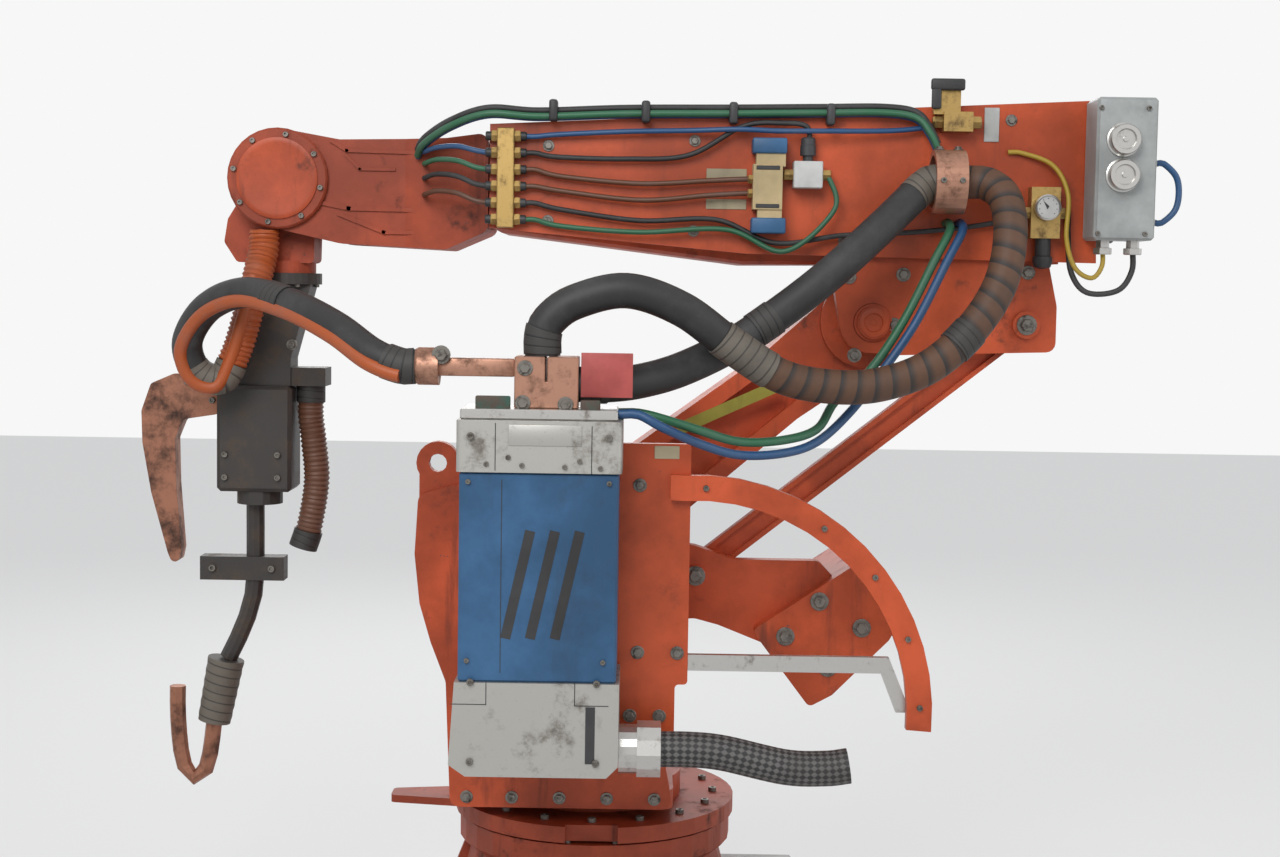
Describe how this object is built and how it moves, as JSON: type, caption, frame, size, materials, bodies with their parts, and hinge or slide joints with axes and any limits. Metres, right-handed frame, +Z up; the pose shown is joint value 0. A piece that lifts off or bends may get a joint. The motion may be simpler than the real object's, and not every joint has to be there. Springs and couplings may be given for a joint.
{
  "type": "six-axis industrial robot arm with spot-welding gun",
  "caption": "Floor-standing parallel-rod robot arm, side-mounted welding transformer, cable loops and a C-type spot-weld gun",
  "frame": {"origin": "middle of the base's underside, on the vertical turning axis", "axes": "+X forward along the upper arm, +Y to the robot's left, +Z up"},
  "size_m": [2.1289, 1.2103, 1.955],
  "materials": {
    "orange_paint": "worn orange enamel, dirty and oily",
    "grey_paint": "grey enamel",
    "dark_paint": "black enamel, greasy",
    "blue_paint": "scuffed blue enamel",
    "aluminium": "cast aluminium, stained",
    "steel": "plated steel",
    "copper": "tarnished copper",
    "brass": "dull brass fittings",
    "beige_plastic": "beige moulding",
    "grey_tape": "dusty woven tape",
    "black_rubber": "black hose rubber"
  },
  "bodies": {
    "base": {"base_casting": "orange_paint", "base_cable_box": "grey_paint"},
    "turret": {"turret_ring": "orange_paint", "turret_frame": "orange_paint", "axis_1_motor": "dark_paint", "axis_2_drive": "orange_paint", "axis_3_drive": "orange_paint", "transformer_bracket": "orange_paint", "transformer_body": "blue_paint", "transformer_top_cap": "aluminium", "transformer_bottom_cap": "aluminium", "terminal_deck": "dark_paint", "terminal_block": "copper", "cable_gland": "steel", "primary_cable": "black_rubber", "cable_guide_arc": "orange_paint", "guide_strut": "steel", "weld_cable_loop": "black_rubber"},
    "lower_arm": {"lower_arm_casting": "orange_paint"},
    "elbow_shaft": {"elbow_shaft_pin": "orange_paint"},
    "upper_arm": {"arm_beam": "orange_paint", "elbow_housing": "orange_paint", "dress_plate": "orange_paint", "axis_4_motor": "dark_paint", "axis_5_motor": "dark_paint", "axis_6_motor": "dark_paint", "hose_manifold": "brass", "air_valve": "beige_plastic", "flow_valve": "grey_paint", "cable_ring": "copper", "pressure_regulator": "brass", "ball_valve": "brass", "junction_box": "grey_paint"},
    "lever": {"lever_arm": "orange_paint", "counterweight": "orange_paint"},
    "rod_pin": {"rod_top_pin": "orange_paint"},
    "rod": {"parallel_rod": "orange_paint"},
    "wrist_roll": {"wrist_housing": "orange_paint", "wrist_cover": "orange_paint"},
    "wrist_bend": {"tilt_housing": "orange_paint"},
    "tool": {"gun_bracket": "dark_paint", "gun_cylinder": "dark_paint", "gun_lower_arm": "dark_paint", "gun_sleeve": "grey_tape", "lower_electrode": "copper", "gun_cable": "grey_tape", "gun_cable_clamp": "dark_paint"},
    "gun_arm": {"upper_electrode": "copper"}
  },
  "joints": [
    {"name": "axis_1", "type": "hinge", "parent": "base", "child": "turret", "pos_m": [0, 0, 0.365], "axis": [0, 0, 1], "range_deg": [-180, 180]},
    {"name": "axis_2", "type": "hinge", "parent": "turret", "child": "lower_arm", "pos_m": [0.11, 0, 0.92], "axis": [0, 1, 0], "range_deg": [-18, 121], "deforming": ["weld_cable_loop"]},
    {"name": "axis_3", "type": "hinge", "parent": "elbow_shaft", "child": "upper_arm", "pos_m": [-0.5718, 0, 1.4604], "axis": [0, 1, 0], "range_deg": [-28, 15]},
    {"name": "elbow_shaft_turn", "type": "hinge", "parent": "lower_arm", "child": "elbow_shaft", "pos_m": [-0.5718, 0, 1.4604], "axis": [0, 1, 0], "range_deg": [-121, 18]},
    {"name": "lever_turn", "type": "hinge", "parent": "turret", "child": "lever", "pos_m": [0.11, 0, 0.92], "axis": [0, 1, 0], "range_deg": [-28, 15]},
    {"name": "rod_top_pin_turn", "type": "hinge", "parent": "upper_arm", "child": "rod_pin", "pos_m": [-0.8918, 0, 1.4604], "axis": [0, 1, 0], "range_deg": [-15, 28]},
    {"name": "rod_turn", "type": "hinge", "parent": "rod_pin", "child": "rod", "pos_m": [-0.8918, 0, 1.4604], "axis": [0, 1, 0], "range_deg": [-18, 121]},
    {"name": "axis_4", "type": "hinge", "parent": "upper_arm", "child": "wrist_roll", "pos_m": [0.24, 0, 1.7454], "axis": [1, 0, 0], "range_deg": [-300, 300]},
    {"name": "axis_5", "type": "hinge", "parent": "wrist_roll", "child": "wrist_bend", "pos_m": [0.6902, 0, 1.7454], "axis": [0, -1, 0], "range_deg": [-15, 210]},
    {"name": "axis_6", "type": "hinge", "parent": "wrist_bend", "child": "tool", "pos_m": [0.6902, 0, 1.5454], "axis": [0, 0, 1], "range_deg": [-300, 300]},
    {"name": "gun_stroke", "type": "slide", "parent": "tool", "child": "gun_arm", "axis": [0, 0, -1], "range_m": [0, 0.27]}
  ],
  "couplings": [
    {"joint": "elbow_shaft_turn", "follows": "axis_2", "ratio": -1},
    {"joint": "rod_turn", "follows": "axis_2", "ratio": 1},
    {"joint": "lever_turn", "follows": "axis_3", "ratio": 1},
    {"joint": "rod_top_pin_turn", "follows": "axis_3", "ratio": -1}
  ]
}
